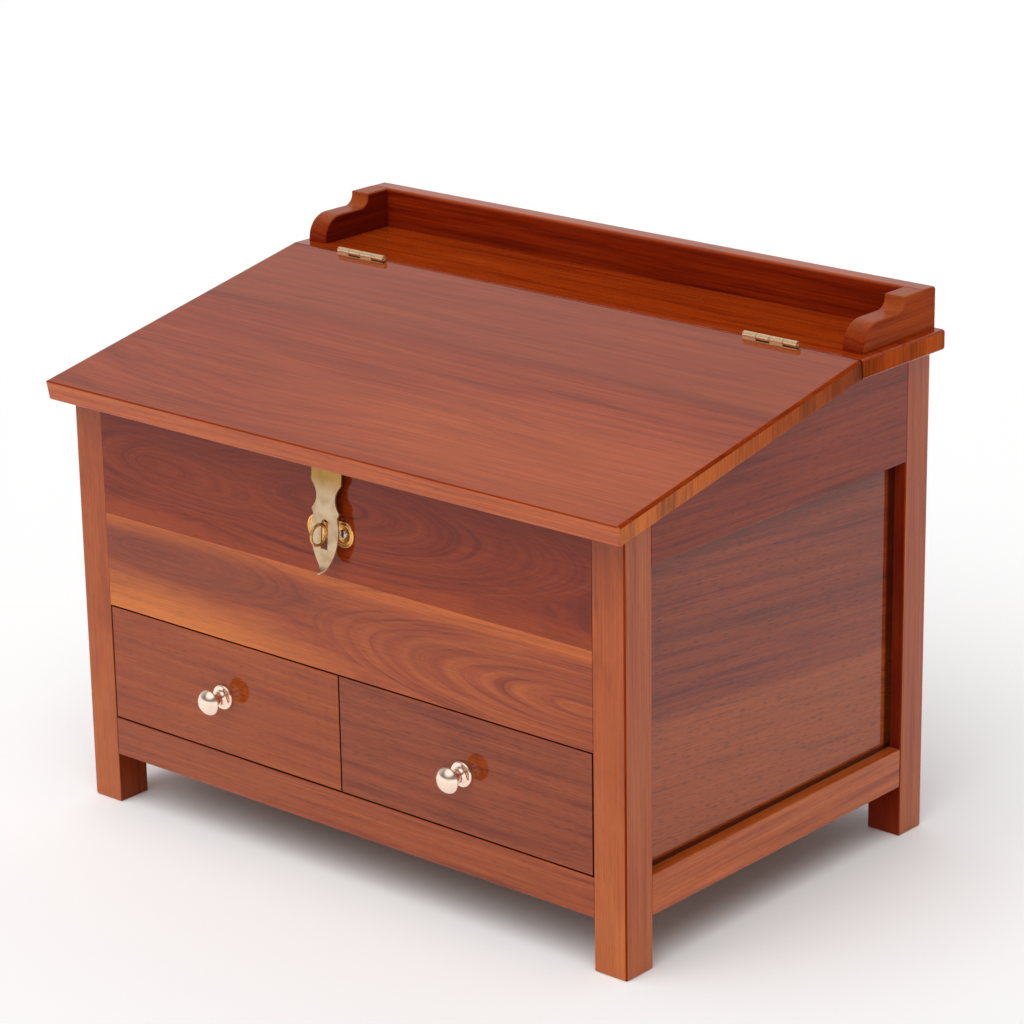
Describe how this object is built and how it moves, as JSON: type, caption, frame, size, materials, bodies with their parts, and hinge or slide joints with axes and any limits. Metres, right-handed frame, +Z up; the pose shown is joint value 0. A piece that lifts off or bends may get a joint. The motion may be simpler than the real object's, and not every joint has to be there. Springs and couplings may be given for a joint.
{
  "type": "slant-top desk",
  "caption": "Small slant-top writing desk on short legs, with a hinged lid, hasp and staple, low gallery shelf, panelled sides and side-by-side drawers with brass knobs.",
  "frame": {"origin": "on the ground, under the middle of the whole desk with lid and drawers shut", "axes": "+X to the right seen from the front, +Y from the front to the back, +Z up"},
  "size_m": [0.583, 0.395, 0.442],
  "materials": {
    "frame_wood": "red-brown stain under gloss varnish",
    "front_wood": "red-brown stain under gloss varnish",
    "top_wood": "red-brown stain under satin varnish",
    "panel_wood": "red-brown stain under gloss varnish",
    "inner_wood": "plain sanded",
    "brass": "polished",
    "strap_brass": "satin",
    "steel": "plain"
  },
  "bodies": {
    "carcass": {"post_front_left": "frame_wood", "post_front_right": "frame_wood", "post_rear_left": "frame_wood", "post_rear_right": "frame_wood", "side_upper_rail_left": "frame_wood", "side_upper_rail_right": "frame_wood", "side_lower_rail_left": "frame_wood", "side_lower_rail_right": "frame_wood", "front_bottom_rail": "frame_wood", "back_upper_rail": "frame_wood", "back_lower_rail": "frame_wood", "front_board_upper": "front_wood", "front_board_lower": "front_wood", "side_panel_left": "panel_wood", "side_panel_right": "panel_wood", "back_panel": "panel_wood", "top_shelf": "top_wood", "gallery_back": "top_wood", "gallery_ear_left": "top_wood", "gallery_ear_right": "top_wood", "compartment_floor": "inner_wood", "floor_cleat_left": "inner_wood", "floor_cleat_right": "inner_wood", "drawer_runner_left": "inner_wood", "drawer_runner_right": "inner_wood", "drawer_runner_centre": "inner_wood", "drawer_guide": "inner_wood", "hinge_left_shelf_leaf": "brass", "hinge_left_pin": "brass", "hinge_right_shelf_leaf": "brass", "hinge_right_pin": "brass", "hinge_screws_shelf": "brass", "staple_plate": "brass", "staple_ring": "brass", "staple_screws": "steel"},
    "lid": {"lid_board": "top_wood", "hinge_left_lid_leaf": "brass", "hinge_right_lid_leaf": "brass", "hinge_screws_lid": "brass", "hasp_leaf": "brass", "hasp_screws": "brass", "hasp_pin": "brass"},
    "hasp": {"hasp_strap": "strap_brass"},
    "drawer_left": {"drawer_left_front": "front_wood", "drawer_left_side_left": "inner_wood", "drawer_left_side_right": "inner_wood", "drawer_left_back": "inner_wood", "drawer_left_bottom": "inner_wood", "drawer_left_knob": "brass", "drawer_left_knob_screw": "steel"},
    "drawer_right": {"drawer_right_front": "front_wood", "drawer_right_side_left": "inner_wood", "drawer_right_side_right": "inner_wood", "drawer_right_back": "inner_wood", "drawer_right_bottom": "inner_wood", "drawer_right_knob": "brass", "drawer_right_knob_screw": "steel"}
  },
  "joints": [
    {"name": "lid_hinge", "type": "hinge", "parent": "carcass", "child": "lid", "pos_m": [0, 0.08588, 0.41166], "axis": [-1, 0, 0], "range_deg": [0, 130]},
    {"name": "hasp_swing", "type": "hinge", "parent": "lid", "child": "hasp", "pos_m": [0, -0.17771, 0.3371], "axis": [-1, 0, 0], "range_deg": [0, 82]},
    {"name": "drawer_left_slide", "type": "slide", "parent": "carcass", "child": "drawer_left", "axis": [0, -1, 0], "range_m": [0, 0.24]},
    {"name": "drawer_right_slide", "type": "slide", "parent": "carcass", "child": "drawer_right", "axis": [0, -1, 0], "range_m": [0, 0.24]}
  ]
}
